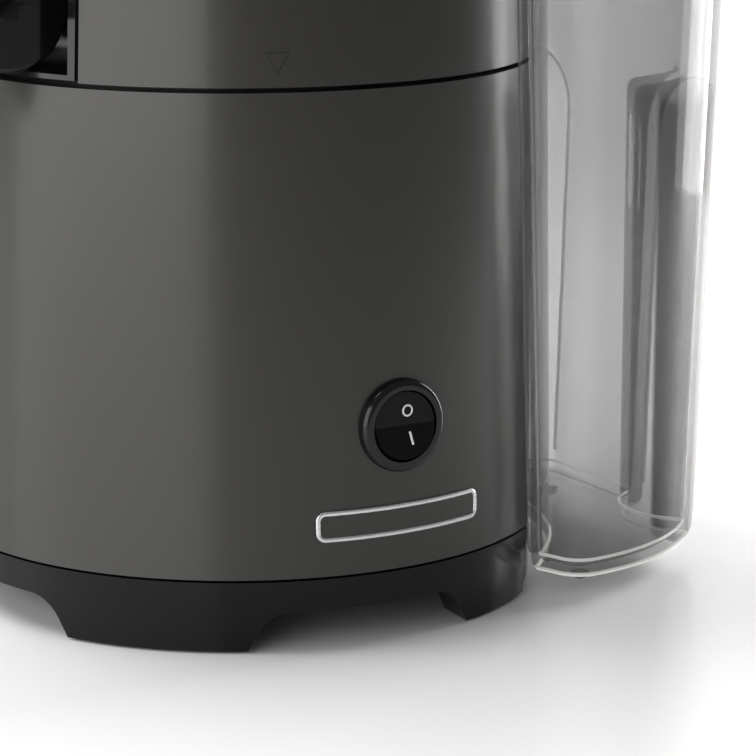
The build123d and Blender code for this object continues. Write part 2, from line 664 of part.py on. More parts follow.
# ---------------------------------------------------------------- pulp container
CONTAINER_Z0 = 5.5
CONTAINER_WALL = 2.2
FLOOR_THICK = 2.5
LIP_BEARINGS = (39.3, 140.7)


def container_outline(z, inset):
    """Plan outline of the container at height z, drawn as its front half and mirrored."""
    rise = (z - CONTAINER_Z0) / (RING_TOP_Z - CONTAINER_Z0)
    spread_x = 1 + 0.055 * rise
    spread_y = 1 + 0.030 * rise
    hollow_r = 78.6 - 2.7 * rise
    start = at_bearing(40.5, hollow_r)
    with BuildSketch(Plane.XY.offset(z)) as outline:
        with BuildLine():
            ThreePointArc((hollow_r, 0), at_bearing(65.0, hollow_r), start)
            Line(start, (53.3, -65.5 * spread_y))
            ThreePointArc(
                (53.3, -65.5 * spread_y), (56.0, -71.3 * spread_y), (62.0, -74.0 * spread_y)
            )
            ThreePointArc(
                (62.0, -74.0 * spread_y),
                (86.4 * spread_x, -68.5 * spread_y),
                (110.0 * spread_x, -50.0 * spread_y),
            )
            ThreePointArc(
                (110.0 * spread_x, -50.0 * spread_y),
                (113.0 * spread_x, -44.5 * spread_y),
                (114.0 * spread_x, -38.4 * spread_y),
            )
            Line((114.0 * spread_x, -38.4 * spread_y), (114.0 * spread_x, 0))
            mirror(about=Plane.XZ)
        make_face()
        if inset:
            offset(amount=-inset, kind=Kind.ARC, mode=Mode.REPLACE)
    return outline.sketch


def flute_tool(grow):
    """Two upright grip flutes with arched tops, as the shape taken out of the right wall."""
    flute_x, flute_y, flute_r, top = 118.0, 38.0, 17.0 + grow, 127.0 + grow
    with BuildPart() as flutes:
        posts(0, flute_r, top, [(flute_x, -flute_y), (flute_x, flute_y)])
        with BuildSketch(Plane.YZ) as arches:
            with Locations((-flute_y, top / 2 - 5), (flute_y, top / 2 - 5)):
                RectangleRounded(2 * flute_r, top + 10, flute_r - 1)
        with BuildSketch(Plane.YZ) as feet:
            with Locations((-flute_y, 20), (flute_y, 20)):
                Rectangle(2 * flute_r, 60)
        extrude(arches.sketch + feet.sketch, amount=200, mode=Mode.INTERSECT)
    return flutes.part


def lip_band():
    """Lips that wrap the front and rear edges of the base, following its taper."""
    gap, thick, z0, z1 = 0.8, 2.2, 13.0, RING_TOP_Z
    with BuildPart() as band:
        revolve_profile(
            [
                (shell_radius(z0) + gap, z0),
                (shell_radius(z0) + gap + thick, z0),
                (shell_radius(z1) + gap + thick, z1),
                (shell_radius(z1) + gap, z1),
            ]
        )
        sectors(0, 100, 60, 200, LIP_BEARINGS, 3.1, Mode.INTERSECT)
    return band.part


FLUTES_OUTSIDE = flute_tool(0)
FLUTES_INSIDE = flute_tool(CONTAINER_WALL)
LIPS = lip_band()
OUTSIDE_FOOT = container_outline(CONTAINER_Z0, 0)
OUTSIDE_TOP = container_outline(RING_TOP_Z, 0)
INSIDE_FOOT = container_outline(CONTAINER_Z0 + FLOOR_THICK, CONTAINER_WALL)
INSIDE_TOP = container_outline(RING_TOP_Z, CONTAINER_WALL)
CONTAINER_RIM = container_outline(RING_TOP_Z, -1.2)


def container_inside():
    """Hollow of the container, with the flutes standing into it."""
    with BuildPart() as hollow:
        loft([INSIDE_FOOT, INSIDE_TOP])
        add(FLUTES_INSIDE, mode=Mode.SUBTRACT)
    return hollow.part


CONTAINER_HOLLOW = container_inside()

with BuildPart() as pulp_container:
    loft([OUTSIDE_FOOT, OUTSIDE_TOP])
    add(FLUTES_OUTSIDE, mode=Mode.SUBTRACT)
    extrude(CONTAINER_RIM, amount=-2.4)
    add(LIPS)
    posts(CONTAINER_Z0 - 2.0, 2.6, 2.5, [(62.5, -66.0), (62.5, 66.0), (103.0, 8.0)])
    add(CONTAINER_HOLLOW, mode=Mode.SUBTRACT)
save(pulp_container, "pulp_container")

# ---------------------------------------------------------------- lid and pusher
LID_WALL = 2.5
CHUTE_R = 34.0
CHUTE_INSIDE_R = 31.5
CHUTE_BOTTOM_Z = 174.0
WAIST_R = 8.0  # inside corners where the collector's circle meets the container's cover
LID_CORNERS = ((62.5, 68.4, 9.2), (86.0, 51.5, 20.5), (107.0, 42.0, 14.3))  # x, +-y, radius


def lid_outline(z, inset):
    """Circle over the collector joined to a rounded cover over the container."""
    with BuildSketch(Plane.XY.offset(z)) as outline:
        for x, y, corner_r in LID_CORNERS:
            with Locations((x, -y), (x, y)):
                Circle(corner_r)
        make_hull()
        Circle(SEAM_R)
        offset(amount=WAIST_R, kind=Kind.ARC, mode=Mode.REPLACE)
        offset(amount=-WAIST_R - inset, kind=Kind.ARC, mode=Mode.REPLACE)
    return outline.sketch


LID_OUTSIDE = lid_outline(LID_BOTTOM_Z, 0)
LID_INSIDE = lid_outline(LID_BOTTOM_Z, LID_WALL)

with BuildPart() as lid_cover:
    extrude(LID_OUTSIDE, amount=LID_TOP_Z - LID_BOTTOM_Z)
    fillet(lid_cover.faces().sort_by(Axis.Z)[-1].edges(), radius=4.0)
    extrude(LID_INSIDE, amount=LID_TOP_Z - LID_WALL - LID_BOTTOM_Z, mode=Mode.SUBTRACT)
    ring(CHUTE_BOTTOM_Z, CHUTE_R, 0, CHUTE_TOP_Z - CHUTE_BOTTOM_Z)
    ring(CHUTE_TOP_Z - 3.5, CHUTE_R + 2.4, 0, 3.5)
    ring(CHUTE_BOTTOM_Z - 1, CHUTE_INSIDE_R, 0, 150, Mode.SUBTRACT)
save(lid_cover, "lid_cover")

with BuildPart() as lid_seal:
    ring(RING_TOP_Z + 0.4, SEAM_R - LID_WALL, SEAM_R - LID_WALL - 1.8, 2.6)
    slab(RING_TOP_Z, 60, 200, 10, [(74.0, 0)], Mode.SUBTRACT)
save(lid_seal, "lid_seal")

PUSHER_R = 30.8
PUSHER_Z = 177.0
with BuildPart() as pusher_body:
    ring(PUSHER_Z, PUSHER_R, 0, CHUTE_TOP_Z + 0.5 - PUSHER_Z)
    ring(CHUTE_TOP_Z + 0.5, CHUTE_R + 3.0, 0, 4.0)
    fillet(pusher_body.faces().sort_by(Axis.Z)[0].edges(), radius=2.0)
    ring(PUSHER_Z + 3.0, PUSHER_R - 2.3, 0, 150, Mode.SUBTRACT)
save(pusher_body, "pusher_body")

CAP_BASE_Z = CHUTE_TOP_Z + 4.5
GRIP_R = CHUTE_R - 2.0
with BuildPart() as pusher_cap:
    revolve_profile(
        [
            (0, CAP_BASE_Z),
            (CHUTE_R + 3, CAP_BASE_Z),
            (CHUTE_R + 3, CAP_BASE_Z + 3),
            (GRIP_R, CAP_BASE_Z + 12),
            (GRIP_R, CAP_TOP_Z - 2),
            (GRIP_R - 2, CAP_TOP_Z),
            (GRIP_R - 6, CAP_TOP_Z),
            (0, CAP_TOP_Z - 3),
        ]
    )
save(pusher_cap, "pusher_cap")
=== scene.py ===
import json
from math import atan2, cos, pi, radians, sin

import bmesh
import bpy
import numpy as np
from mathutils import Matrix, Vector


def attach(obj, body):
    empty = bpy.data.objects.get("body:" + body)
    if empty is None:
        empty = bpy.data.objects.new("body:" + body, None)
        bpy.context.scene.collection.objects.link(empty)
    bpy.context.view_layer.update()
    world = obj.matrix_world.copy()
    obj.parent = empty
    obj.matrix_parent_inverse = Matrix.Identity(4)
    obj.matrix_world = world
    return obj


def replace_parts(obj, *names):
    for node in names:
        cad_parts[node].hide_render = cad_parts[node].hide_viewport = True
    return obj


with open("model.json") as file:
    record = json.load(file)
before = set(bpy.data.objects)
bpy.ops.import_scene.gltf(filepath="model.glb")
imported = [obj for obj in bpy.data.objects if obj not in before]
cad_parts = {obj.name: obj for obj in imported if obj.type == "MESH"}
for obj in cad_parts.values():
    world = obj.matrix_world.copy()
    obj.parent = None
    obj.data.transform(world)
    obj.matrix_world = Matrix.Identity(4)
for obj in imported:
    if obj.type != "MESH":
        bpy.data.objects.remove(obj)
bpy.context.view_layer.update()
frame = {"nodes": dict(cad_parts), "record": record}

# ------------------------------------------------------------------ camera, at the photograph's angle
CAMERA_PLACE = (-0.3942, -0.7248, 0.2388)
CAMERA_TILT, CAMERA_AZIMUTH = 77.17, -31.0

camera_data = bpy.data.cameras.new("camera")
camera_data.lens = 153.5
camera_data.sensor_width = 36.0
camera_data.clip_start = 0.05
camera_data.clip_end = 50.0
camera = bpy.data.objects.new("camera", camera_data)
camera.location = CAMERA_PLACE
camera.rotation_euler = (radians(CAMERA_TILT), 0.0, radians(CAMERA_AZIMUTH))
bpy.context.scene.collection.objects.link(camera)
bpy.context.scene.camera = camera

# ------------------------------------------------------------------ sizes shared with the CAD, in mm
MM = 0.001
SEAM_R, FOOT_R = 75.0, 78.4
BASE_BOTTOM_Z, BASE_TOP_Z = 18.8, 136.3
SWITCH_BEARING, SWITCH_Z = 1.0, 54.4
NAMEPLATE_BEARING, NAMEPLATE_Z = 1.4, 31.2


def shell_radius(z):
    """Outside radius of the tapered body at height z."""
    return FOOT_R - (FOOT_R - SEAM_R) * (z - BASE_BOTTOM_Z) / (BASE_TOP_Z - BASE_BOTTOM_Z)


def around(bearing, radius, z):
    """Point at a bearing in degrees from the front, in metres."""
    a = radians(bearing)
    return Vector((radius * sin(a), -radius * cos(a), z)) * MM


# ------------------------------------------------------------------ material nodes
NOISE_LOW, NOISE_HIGH = 0.3, 0.7  # most of a noise's values lie between these
MIX_A, MIX_B, MIX_RESULT = 6, 7, 2  # colour sockets of a Mix node


def shader(name):
    """New material with a Principled shader on its surface."""
    material = bpy.data.materials.new(name)
    material.use_nodes = True
    tree = material.node_tree
    tree.nodes.clear()
    out = tree.nodes.new("ShaderNodeOutputMaterial")
    bsdf = tree.nodes.new("ShaderNodeBsdfPrincipled")
    tree.links.new(bsdf.outputs["BSDF"], out.inputs["Surface"])
    return material, tree, bsdf


def mapped(tree, scale=(1, 1, 1)):
    """Object coordinates, stretched by scale."""
    coords = tree.nodes.new("ShaderNodeTexCoord")
    mapping = tree.nodes.new("ShaderNodeMapping")
    mapping.inputs["Scale"].default_value = scale
    tree.links.new(coords.outputs["Object"], mapping.inputs["Vector"])
    return mapping.outputs["Vector"]


def noise(tree, vector, scale, detail=3.0, roughness=0.5):
    """Noise value along the given coordinates."""
    node = tree.nodes.new("ShaderNodeTexNoise")
    node.inputs["Scale"].default_value = scale
    node.inputs["Detail"].default_value = detail
    node.inputs["Roughness"].default_value = roughness
    tree.links.new(vector, node.inputs["Vector"])
    return node.outputs["Fac"]


def map_range(tree, value, source, target, smooth=False):
    """Value moved from the source range to the target range, and held within it."""
    node = tree.nodes.new("ShaderNodeMapRange")
    if smooth:
        node.interpolation_type = "SMOOTHSTEP"
    for socket, number in zip(("From Min", "From Max", "To Min", "To Max"), (*source, *target)):
        node.inputs[socket].default_value = number
    tree.links.new(value, node.inputs["Value"])
    return node.outputs["Result"]


def ranged(tree, value, low, high):
    """Noise value spread from low to high."""
    return map_range(tree, value, (NOISE_LOW, NOISE_HIGH), (low, high))


def tinted(tree, value, dark, light):
    """Noise value turned into a colour from dark to light."""
    ramp = tree.nodes.new("ShaderNodeValToRGB")
    first, last = ramp.color_ramp.elements
    first.position, first.color = NOISE_LOW, (*dark, 1)
    last.position, last.color = NOISE_HIGH, (*light, 1)
    tree.links.new(value, ramp.inputs["Fac"])
    return ramp.outputs["Color"]


def maths(tree, operation, *values, clamp=False):
    """Result of a maths node on numbers and sockets."""
    node = tree.nodes.new("ShaderNodeMath")
    node.operation = operation
    node.use_clamp = clamp
    for socket, value in zip(node.inputs, values):
        if isinstance(value, float):
            socket.default_value = value
        else:
            tree.links.new(value, socket)
    return node.outputs["Value"]


def vector_maths(tree, operation, vector, second=None, output="Vector"):
    """Result of a vector maths node on a socket and a fixed vector."""
    node = tree.nodes.new("ShaderNodeVectorMath")
    node.operation = operation
    tree.links.new(vector, node.inputs[0])
    if second:
        node.inputs[1].default_value = second
    return node.outputs[output]


def bumped(tree, bsdf, layers):
    """Chain of bumps: each layer is (height socket, strength, distance in metres)."""
    last = None
    for height, strength, distance in layers:
        node = tree.nodes.new("ShaderNodeBump")
        node.inputs["Strength"].default_value = strength
        node.inputs["Distance"].default_value = distance
        tree.links.new(height, node.inputs["Height"])
        if last:
            tree.links.new(last, node.inputs["Normal"])
        last = node.outputs["Normal"]
    tree.links.new(last, bsdf.inputs["Normal"])


def moulded(
    name, dark, light, rough, grain=900.0, grain_strength=0.12, waviness=0.02, metallic=0.0, coat=0.0,
    spec=0.5, stretch=(1, 1, 1), cloud=18.0,
):
    """Plastic, rubber or metal: colour clouds, roughness clouds, fine grain and slow waviness."""
    grain_depth, wave_depth, wave_scale = 0.00005, 0.001, 34.0
    rough_cloud, coat_roughness = 2.7, 0.08
    material, tree, bsdf = shader(name)
    vector = mapped(tree, stretch)
    plain = mapped(tree)
    colour_clouds = noise(tree, vector, cloud, 4.0, 0.55)
    rough_clouds = noise(tree, vector, cloud * rough_cloud, 5.0, 0.6)
    tree.links.new(tinted(tree, colour_clouds, dark, light), bsdf.inputs["Base Color"])
    tree.links.new(ranged(tree, rough_clouds, rough[0], rough[1]), bsdf.inputs["Roughness"])
    waves = (noise(tree, plain, wave_scale, 1.0), waviness, wave_depth)
    grains = (noise(tree, plain, grain, 3.0, 0.6), grain_strength, grain_depth)
    bumped(tree, bsdf, [waves, grains])
    bsdf.inputs["Metallic"].default_value = metallic
    bsdf.inputs["Coat Weight"].default_value = coat
    bsdf.inputs["Coat Roughness"].default_value = coat_roughness
    bsdf.inputs["Specular IOR Level"].default_value = spec
    return material


# mask for painted shade: the patch where the smoked film is made more opaque and so darker
def painted_shade_mask(tree, centre, reach, top):
    """1 within reach of an upright line through centre, below the height top; 0 elsewhere. All in metres."""
    side_fade, top_fade = 0.0012, 0.006
    coords = tree.nodes.new("ShaderNodeTexCoord").outputs["Object"]
    offset = vector_maths(tree, "SUBTRACT", coords, (*centre, 0.0))
    flat = vector_maths(tree, "MULTIPLY", offset, (1.0, 1.0, 0.0))
    away = vector_maths(tree, "LENGTH", flat, output="Value")
    near = map_range(tree, away, (reach, reach + side_fade), (1.0, 0.0))
    split = tree.nodes.new("ShaderNodeSeparateXYZ")
    tree.links.new(coords, split.inputs["Vector"])
    below = map_range(tree, split.outputs["Z"], (top - top_fade, top), (1.0, 0.0))
    return maths(tree, "MULTIPLY", near, below)


PAINTED_RIM_HIGHLIGHT = (0.40, 0.388, 0.376)  # painted highlight: light colour given to the film where it is seen edge-on
# painted glow: colour of the light given off by the highlight beads, which are no lamp
PAINTED_GLOW_TINT = (0.98, 0.96, 0.94)
RIM_SLANT = (0.22, 0.52)  # edge-on values over which the painted rim highlight comes in
EDGE_BLEND, FILM_SPECULAR = 0.16, 0.12


def smoked(name, dark, light, facing, grazing, painted_shade=None, painted_glow=0.0):
    """Smoke-tinted film: alpha from facing to grazing, colour lightened edge-on as a painted highlight, more
    alpha as painted shade in a patch (centre, reach, top, extra), and an optional painted glow.
    """
    material, tree, bsdf = shader(name)
    vector = mapped(tree, (1, 1, 0.2))
    tree.links.new(ranged(tree, noise(tree, vector, 60.0, 4.0), 0.03, 0.06), bsdf.inputs["Roughness"])
    bumped(tree, bsdf, [(noise(tree, vector, 26.0, 2.0), 0.01, 0.001)])
    edge = tree.nodes.new("ShaderNodeLayerWeight")
    edge.inputs["Blend"].default_value = EDGE_BLEND
    slant = edge.outputs["Facing"]
    # painted highlight: the film's colour is mixed towards a light grey where it is seen edge-on
    lit = tree.nodes.new("ShaderNodeMix")
    lit.data_type = "RGBA"
    tree.links.new(map_range(tree, slant, RIM_SLANT, (0.0, 1.0), smooth=True), lit.inputs["Factor"])
    tree.links.new(tinted(tree, noise(tree, vector, 14.0, 3.0), dark, light), lit.inputs[MIX_A])
    lit.inputs[MIX_B].default_value = (*PAINTED_RIM_HIGHLIGHT, 1.0)
    tree.links.new(lit.outputs[MIX_RESULT], bsdf.inputs["Base Color"])
    alpha = map_range(tree, slant, (0.0, 1.0), (facing, grazing))
    # painted shade: extra alpha darkens the film within the patch
    if painted_shade:
        centre, reach, top, extra = painted_shade
        mask = painted_shade_mask(tree, centre, reach, top)
        alpha = maths(tree, "MULTIPLY_ADD", mask, extra, alpha, clamp=True)
    tree.links.new(alpha, bsdf.inputs["Alpha"])
    bsdf.inputs["Specular IOR Level"].default_value = FILM_SPECULAR
    # painted glow: emission, used only by the highlight beads
    bsdf.inputs["Emission Color"].default_value = (*PAINTED_GLOW_TINT, 1.0)
    bsdf.inputs["Emission Strength"].default_value = painted_glow
    return material


# ------------------------------------------------------------------ materials
LOOKS = {
    "body_grey": dict(
        dark=(0.0300, 0.0285, 0.0260), light=(0.0325, 0.0309, 0.0282), rough=(0.27, 0.31), grain=2600.0,
        grain_strength=0.03, waviness=0.0, metallic=0.25, coat=0.12, spec=0.42, stretch=(1, 1, 0.5), cloud=5.0,
    ),
    "skirt_grey": dict(
        dark=(0.0034, 0.0032, 0.0029), light=(0.0042, 0.0040, 0.0036), rough=(0.13, 0.17), grain=2200.0,
        grain_strength=0.02, waviness=0.0, coat=0.03, spec=0.16, cloud=5.0,
    ),
    "bowl_grey": dict(
        dark=(0.045, 0.043, 0.040), light=(0.058, 0.056, 0.052), rough=(0.30, 0.42), metallic=0.1,
    ),
    "black_gloss": dict(
        dark=(0.0035, 0.0035, 0.0037), light=(0.0055, 0.0055, 0.0058), rough=(0.10, 0.16), grain=1800.0,
        grain_strength=0.02, waviness=0.005, coat=0.1, spec=0.28,
    ),
    "rocker_black": dict(
        dark=(0.0026, 0.0026, 0.0027), light=(0.0036, 0.0036, 0.0038), rough=(0.28, 0.36), grain=1800.0,
        grain_strength=0.05, waviness=0.005, spec=0.16,
    ),
    "black_matte": dict(
        dark=(0.014, 0.014, 0.015), light=(0.024, 0.024, 0.025), rough=(0.45, 0.6), grain=1500.0,
        grain_strength=0.4,
    ),
    "rubber_black": dict(
        dark=(0.012, 0.012, 0.012), light=(0.022, 0.022, 0.022), rough=(0.65, 0.82), grain=700.0,
        grain_strength=0.5, spec=0.3,
    ),
    "silicone": dict(
        dark=(0.50, 0.50, 0.48), light=(0.60, 0.60, 0.57), rough=(0.40, 0.55), grain=800.0, grain_strength=0.2,
    ),
    "white_plastic": dict(dark=(0.60, 0.58, 0.53), light=(0.70, 0.68, 0.63), rough=(0.35, 0.5)),
    "basket_plastic": dict(
        dark=(0.030, 0.030, 0.031), light=(0.045, 0.045, 0.046), rough=(0.28, 0.4), coat=0.2,
    ),
    "steel": dict(
        dark=(0.42, 0.42, 0.43), light=(0.56, 0.56, 0.57), rough=(0.2, 0.36), metallic=1.0, stretch=(1, 1, 6),
        cloud=60.0,
    ),
    "stainless": dict(
        dark=(0.48, 0.48, 0.48), light=(0.62, 0.62, 0.61), rough=(0.16, 0.3), metallic=1.0, stretch=(1, 1, 8),
        cloud=70.0, grain_strength=0.2,
    ),
    "bracket_alloy": dict(
        dark=(0.36, 0.36, 0.37), light=(0.48, 0.48, 0.49), rough=(0.42, 0.6), metallic=0.9, grain=500.0,
        grain_strength=0.5,
    ),
    "plate_alloy": dict(
        dark=(0.62, 0.62, 0.62), light=(0.74, 0.74, 0.73), rough=(0.2, 0.32), metallic=0.85,
        stretch=(0.2, 0.2, 6), cloud=120.0,
    ),
    "laminations": dict(
        dark=(0.12, 0.12, 0.13), light=(0.22, 0.22, 0.23), rough=(0.35, 0.5), metallic=0.9,
        stretch=(0.05, 0.05, 12), cloud=160.0, grain_strength=0.5,
    ),
    "copper": dict(
        dark=(0.42, 0.15, 0.06), light=(0.62, 0.27, 0.12), rough=(0.2, 0.34), metallic=0.9,
        stretch=(0.1, 0.1, 10), cloud=180.0, grain_strength=0.4,
    ),
    "brass": dict(dark=(0.55, 0.40, 0.15), light=(0.68, 0.50, 0.20), rough=(0.2, 0.32), metallic=1.0),
    "carbon": dict(
        dark=(0.012, 0.012, 0.012), light=(0.03, 0.03, 0.03), rough=(0.5, 0.7), grain=1200.0,
        grain_strength=0.6,
    ),
    "mark_white": dict(dark=(0.72, 0.72, 0.70), light=(0.82, 0.82, 0.80), rough=(0.35, 0.5)),
    "studio_white": dict(
        dark=(0.80, 0.80, 0.80), light=(0.81, 0.81, 0.81), rough=(0.24, 0.26), grain=300.0,
        grain_strength=0.01, waviness=0.0, spec=0.5, cloud=1.5,
    ),
}
MATERIALS = {name: moulded(name, **look) for name, look in LOOKS.items()}

SMOKE_DARK, SMOKE_LIGHT = (0.030, 0.0285, 0.0270), (0.036, 0.0342, 0.0324)
# painted highlight: light grey colours of the beads that draw the container's bright edge lines
BEAD_HIGHLIGHT_DARK, BEAD_HIGHLIGHT_LIGHT = (0.46, 0.447, 0.435), (0.56, 0.545, 0.53)
# painted shade over the front flute, below its arched top: (centre, reach, top, extra alpha); the container
# shell's film carries it
FRONT_FLUTE_SHADE = ((0.110, -0.050), 0.0105, 0.127, 0.42)
smoky_clear = smoked("smoky_clear", SMOKE_DARK, SMOKE_LIGHT, 0.25, 0.84)
flute_shaded_clear = smoked("flute_shaded_clear", SMOKE_DARK, SMOKE_LIGHT, 0.22, 0.84, painted_shade=FRONT_FLUTE_SHADE)
# painted highlight material for the beads: light, mostly opaque and glowing
painted_highlight_clear = smoked("painted_highlight_clear", BEAD_HIGHLIGHT_DARK, BEAD_HIGHLIGHT_LIGHT, 0.66, 0.95, painted_glow=0.46)
MATERIALS["smoky_clear"] = smoky_clear

slot_of = {entry["node"]: entry["material_slot"] for entry in frame["record"]["subparts"]}
for node_name, node_object in frame["nodes"].items():
    node_object.data.materials.clear()
    node_object.data.materials.append(MATERIALS[slot_of[node_name]])
rocker_mesh = frame["nodes"]["switch_rocker"].data
rocker_mesh.materials[0] = MATERIALS["rocker_black"]


# ------------------------------------------------------------------ mesh helpers
def piece(name, vertices, faces, material, body, smooth=True):
    """Object made from vertices in metres, riding on a body of the frame."""
    mesh = bpy.data.meshes.new(name)
    mesh.from_pydata([tuple(v) for v in vertices], [], faces)
    mesh.update()
    if smooth:
        for polygon in mesh.polygons:
            polygon.use_smooth = True
    mesh.materials.append(material)
    made = bpy.data.objects.new(name, mesh)
    bpy.context.scene.collection.objects.link(made)
    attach(made, body)
    return made


def looped(name, loops, material, body, close=False):
    """Piece skinned over loops of equal length; close joins the last loop to the first."""
    vertices, faces = [], []
    count = len(loops[0])
    for loop in loops:
        vertices += loop
    pairs = [(i, i + 1) for i in range(len(loops) - 1)]
    if close:
        pairs.append((len(loops) - 1, 0))
    for a, b in pairs:
        for i in range(count):
            j = (i + 1) % count
            faces.append((a * count + i, a * count + j, b * count + j, b * count + i))
    return piece(name, vertices, faces, material, body)


def capped(name, loops, material, body):
    """Piece skinned over loops, with a flat face over the first and the last one."""
    made = looped(name, loops, material, body)
    count, last = len(loops[0]), len(loops) - 1
    work = bmesh.new()
    work.from_mesh(made.data)
    work.verts.ensure_lookup_table()
    for first in (0, last * count):
        cap = work.faces.new([work.verts[first + i] for i in range(count)])
        cap.smooth = False
        bmesh.ops.triangulate(work, faces=[cap])
    bmesh.ops.recalc_face_normals(work, faces=work.faces)
    work.to_mesh(made.data)
    work.free()
    return made


# ------------------------------------------------------------------ pulp container
CONTAINER_Z0, CONTAINER_TOP_Z = 5.5, 186.0
WIDER_X, WIDER_Y = 0.055, 0.030  # how much the container widens from foot to rim
HOLLOW_R, HOLLOW_TAPER = 78.6, 2.7  # the side that hugs the motor base
HOLLOW_BEARINGS = (65.0, 40.5)
HORN = ((53.3, -65.5), (56.0, -71.3), (62.0, -74.0))
WALL = ((86.4, -68.5), (110.0, -50.0), (113.0, -44.5), (114.0, -38.4))
FLUTE_X, FLUTE_Y, FLUTE_R, FLUTE_TOP_Z = 118.0, 38.0, 17.0, 127.0
FLUTE_FROM_X, FLUTE_CLEAR, FLUTE_SOFTNESS = 96.0, 0.4, 1.1
PLAN_POINTS, RING_POINTS = 1800, 4200
PLAN_BLUR, RING_BLUR = 3.0, 6.0
OUTER_FROM_X = 92.0
SECTION_SIDES = (-57.0, -17.5, 17.5, 57.0)
SECTION_COUNTS = (84, 92, 22, 92, 84)


def arc_points(a, b, c, count):
    """Points on the circle through a, b and c, from a up to but not including c."""
    (ax, ay), (bx, by), (cx, cy) = a, b, c
    d = 2 * (ax * (by - cy) + bx * (cy - ay) + cx * (ay - by))
    a2, b2, c2 = ax**2 + ay**2, bx**2 + by**2, cx**2 + cy**2
    ux = (a2 * (by - cy) + b2 * (cy - ay) + c2 * (ay - by)) / d
    uy = (a2 * (cx - bx) + b2 * (ax - cx) + c2 * (bx - ax)) / d
    radius = ((ax - ux) ** 2 + (ay - uy) ** 2) ** 0.5
    start = atan2(ay - uy, ax - ux)
    sweep = (atan2(cy - uy, cx - ux) - start + pi) % (2 * pi) - pi
    turns = [start + sweep * k / count for k in range(count)]
    return [(ux + radius * cos(turn), uy + radius * sin(turn)) for turn in turns]


def line_points(a, b, count):
    """Points on the line from a up to but not including b."""
    return [(a[0] + (b[0] - a[0]) * k / count, a[1] + (b[1] - a[1]) * k / count) for k in range(count)]


def even(points, count, closed=False):
    """The same path with evenly spaced points."""
    p = np.array(points + ([points[0]] if closed else []), float)
    run = np.concatenate([[0.0], np.cumsum(np.hypot(*(p[1:] - p[:-1]).T))])
    at = np.linspace(0.0, run[-1], count, endpoint=not closed)
    return np.stack([np.interp(at, run, p[:, 0]), np.interp(at, run, p[:, 1])], 1)


def plan_base(z):
    """Closed plan outline without the flutes, from the middle of the hollow side round the front."""
    rise = (z - CONTAINER_Z0) / (CONTAINER_TOP_Z - CONTAINER_Z0)
    sx, sy = 1 + WIDER_X * rise, 1 + WIDER_Y * rise
    hollow = HOLLOW_R - HOLLOW_TAPER * rise

    def turned(bearing):
        return hollow * sin(radians(bearing)), -hollow * cos(radians(bearing))

    halfway, hollow_end = (turned(bearing) for bearing in HOLLOW_BEARINGS)
    inner, shoulder, front = ((x, y * sy) for x, y in HORN)
    bulge, corner, nose, side = ((x * sx, y * sy) for x, y in WALL)
    middle = (side[0], 0.0)
    half = arc_points((hollow, 0.0), halfway, hollow_end, 60)
    half += line_points(hollow_end, inner, 12)
    half += arc_points(inner, shoulder, front, 16)
    half += arc_points(front, bulge, corner, 60)
    half += arc_points(corner, nose, side, 16)
    half += line_points(side, middle, 40)
    whole = half + [middle] + [(x, -y) for x, y in reversed(half[1:])]
    return even(whole, PLAN_POINTS, closed=True)


def blurred(points, sigma):
    """Closed path smoothed along its length; sigma is in points."""
    reach = int(3 * sigma)
    weights = np.exp(-0.5 * (np.arange(-reach, reach + 1) / sigma) ** 2)
    weights /= weights.sum()
    out = np.zeros_like(points)
    for shift, weight in zip(range(-reach, reach + 1), weights):
        out += weight * np.roll(points, shift, axis=0)
    return out


def normals(points):
    """Outward unit normals of a closed path."""
    along = np.roll(points, -1, axis=0) - np.roll(points, 1, axis=0)
    along /= np.hypot(along[:, 0], along[:, 1])[:, None] + 1e-12
    side = np.stack([along[:, 1], -along[:, 0]], 1)
    x, y = points.T
    turn_sum = np.sum(x * np.roll(y, -1) - np.roll(x, -1) * y)
    return side * (1.0 if turn_sum > 0 else -1.0)


def fluted(base, z, inset):
    """The x of every plan point at height z once both flutes are pressed in."""
    x, y = base[:, 0].copy(), base[:, 1]
    right = x > FLUTE_FROM_X
    radius = FLUTE_R + inset
    above = np.maximum(0.0, z - (FLUTE_TOP_Z - FLUTE_R))
    for side in (-1.0, 1.0):
        across = y - side * FLUTE_Y
        inside = radius - FLUTE_CLEAR - np.hypot(across, above)
        amount = np.clip(inside / FLUTE_SOFTNESS, 0.0, 1.0)
        amount = amount * amount * (3 - 2 * amount)
        floor_x = FLUTE_X - np.sqrt(np.maximum(radius**2 - across**2, 0.0))
        cut = right & (x > floor_x) & (inside > 0)
        x = np.where(cut, x - (x - floor_x) * amount, x)
    return x


def container_level(z, inset):
    """One ring of the container's skin at height z, inset mm inside its outer face."""
    base = blurred(plan_base(z), PLAN_BLUR)
    base = base - normals(base) * inset
    ring = np.stack([fluted(base, z, inset), base[:, 1]], 1)
    dense = even([tuple(p) for p in ring], RING_POINTS, closed=True)
    dense = blurred(dense, RING_BLUR)
    marks = []
    outer = dense[:, 0] > OUTER_FROM_X
    for side in SECTION_SIDES:
        best = np.where(outer, np.abs(dense[:, 1] - side), np.inf)
        marks.append(int(np.argmin(best)))
    marks = [0] + sorted(marks) + [len(dense)]
    closed = np.concatenate([dense, dense[:1]])
    parts = []
    for k, count in enumerate(SECTION_COUNTS):
        part = even([tuple(p) for p in closed[marks[k]:marks[k + 1] + 1]], count + 1)
        parts.append(part[:-1])
    flat = np.concatenate(parts)
    return [Vector((px, py, z)) * MM for px, py in flat]


